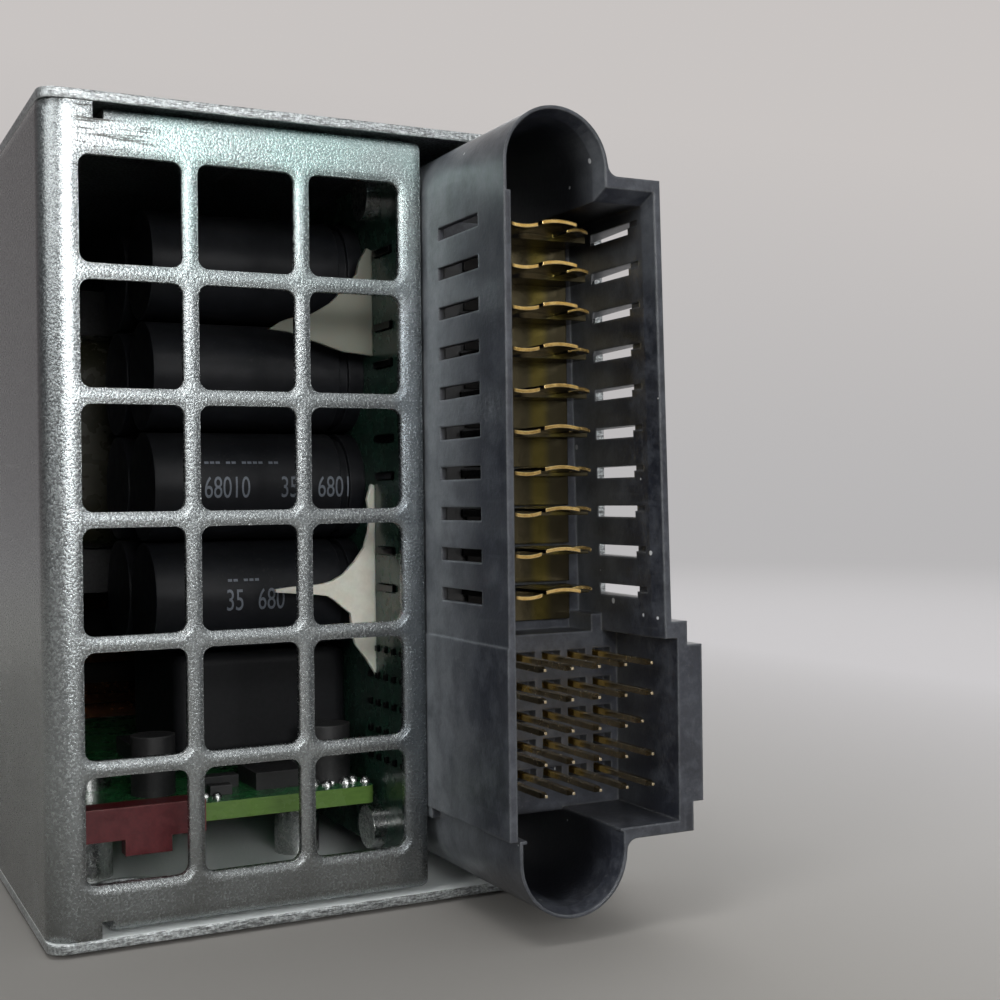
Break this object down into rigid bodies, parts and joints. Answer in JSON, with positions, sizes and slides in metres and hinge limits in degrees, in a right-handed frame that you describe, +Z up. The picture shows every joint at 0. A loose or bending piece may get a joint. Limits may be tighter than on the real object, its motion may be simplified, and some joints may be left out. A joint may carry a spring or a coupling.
{
  "type": "hot swap server power supply",
  "caption": "Slim plated-steel power supply with a folded grille, a moulded blade and pin connector, a fan, a mains inlet, a folding pull handle and a side latch.",
  "frame": {"origin": "middle of the underside of the bottom plate", "axes": "+X across the case towards the shell's folded wall, +Y along the case from the connector end to the fan end, +Z up"},
  "size_m": [0.0526, 0.2561, 0.0684],
  "materials": {
    "zinc_shell": "zinc plated, fine grain",
    "zinc_cover": "zinc plated, fine grain",
    "zinc_panel": "zinc plated",
    "screw_steel": "nickel plated",
    "housing_plastic": "glass-filled, blue black",
    "gold_contact": "gold plated",
    "gold_pin": "gold plated",
    "board_dark": "dark solder mask",
    "standoff_brass": "nickel-plated brass",
    "film": "black film",
    "board_green": "green solder mask",
    "chips": "moulded packages",
    "red_plastic": "red insulator",
    "cap_sleeve": "black sleeve",
    "white_film": "off-white sheet",
    "inductor": "moulded powder",
    "bulk_sleeve": "black sleeve",
    "ferrite": "ferrite",
    "tape": "yellow tape",
    "bobbin": "moulded",
    "copper_wire": "enamelled copper",
    "filter_box": "yellow box",
    "black_package": "moulded package",
    "ceramic": "ceramic",
    "sink_aluminium": "extruded",
    "fan_plastic": "moulded",
    "fan_motor": "laminations and coils",
    "guard_wire": "plated wire",
    "inlet_plastic": "moulded",
    "inlet_pin_metal": "nickel-plated brass",
    "handle_wire": "plated wire",
    "grip_rubber": "moulded sleeve",
    "bracket_steel": "zinc plated",
    "latch_plastic": "green moulding",
    "light_pipe": "clear moulding"
  },
  "bodies": {
    "case": {"outer_shell": "zinc_shell", "side_cover": "zinc_cover", "end_panel": "zinc_panel", "cover_screws": "screw_steel", "end_panel_screws": "screw_steel", "connector_housing": "housing_plastic", "power_contacts": "gold_contact", "signal_pins": "gold_pin", "connector_screws": "screw_steel", "main_board": "board_dark", "board_standoffs": "standoff_brass", "board_screws": "screw_steel", "insulating_sheet": "film", "daughter_board": "board_green", "daughter_board_posts": "standoff_brass", "daughter_board_screws": "screw_steel", "daughter_board_parts": "chips", "edge_guard": "red_plastic", "output_capacitors": "cap_sleeve", "capacitor_spacers": "white_film", "output_inductor": "inductor", "bulk_capacitor": "bulk_sleeve", "transformer_core": "ferrite", "transformer_winding": "tape", "transformer_bobbin": "bobbin", "pfc_choke_core": "ferrite", "pfc_choke_winding": "copper_wire", "emi_choke_core": "ferrite", "emi_choke_winding": "copper_wire", "filter_capacitor": "filter_box", "bridge_rectifier": "black_package", "relay": "black_package", "line_fuse": "ceramic", "primary_heat_sink": "sink_aluminium", "power_transistors": "black_package", "heat_sink_screws": "screw_steel", "output_heat_sink": "sink_aluminium", "output_rectifiers": "black_package", "bus_bars": "copper_wire", "fan_frame": "fan_plastic", "fan_stator": "fan_motor", "fan_guard": "guard_wire", "fan_screws": "screw_steel", "inlet_body": "inlet_plastic", "inlet_pins": "inlet_pin_metal", "handle_brackets": "bracket_steel", "handle_rivets": "bracket_steel", "latch_bracket": "bracket_steel", "latch_pin": "bracket_steel", "latch_spring": "bracket_steel", "status_light": "light_pipe"},
    "fan_rotor": {"fan_rotor": "fan_plastic"},
    "handle": {"handle_bail": "handle_wire", "handle_grip": "grip_rubber"},
    "latch": {"latch_lever": "latch_plastic"}
  },
  "joints": [
    {"name": "fan_spin", "type": "hinge", "parent": "case", "child": "fan_rotor", "pos_m": [0, 0.1002, 0.0452], "axis": [0, 1, 0], "continuous": true},
    {"name": "handle_fold", "type": "hinge", "parent": "case", "child": "handle", "pos_m": [0, 0.1214, 0.0604], "axis": [1, 0, 0], "range_deg": [0, 100]},
    {"name": "latch_press", "type": "hinge", "parent": "case", "child": "latch", "pos_m": [0.0207, 0.091, 0.009], "axis": [0, 0, 1], "range_deg": [0, 9], "stiffness_Nm_per_rad": 0.15, "springref_deg": -17.19}
  ]
}
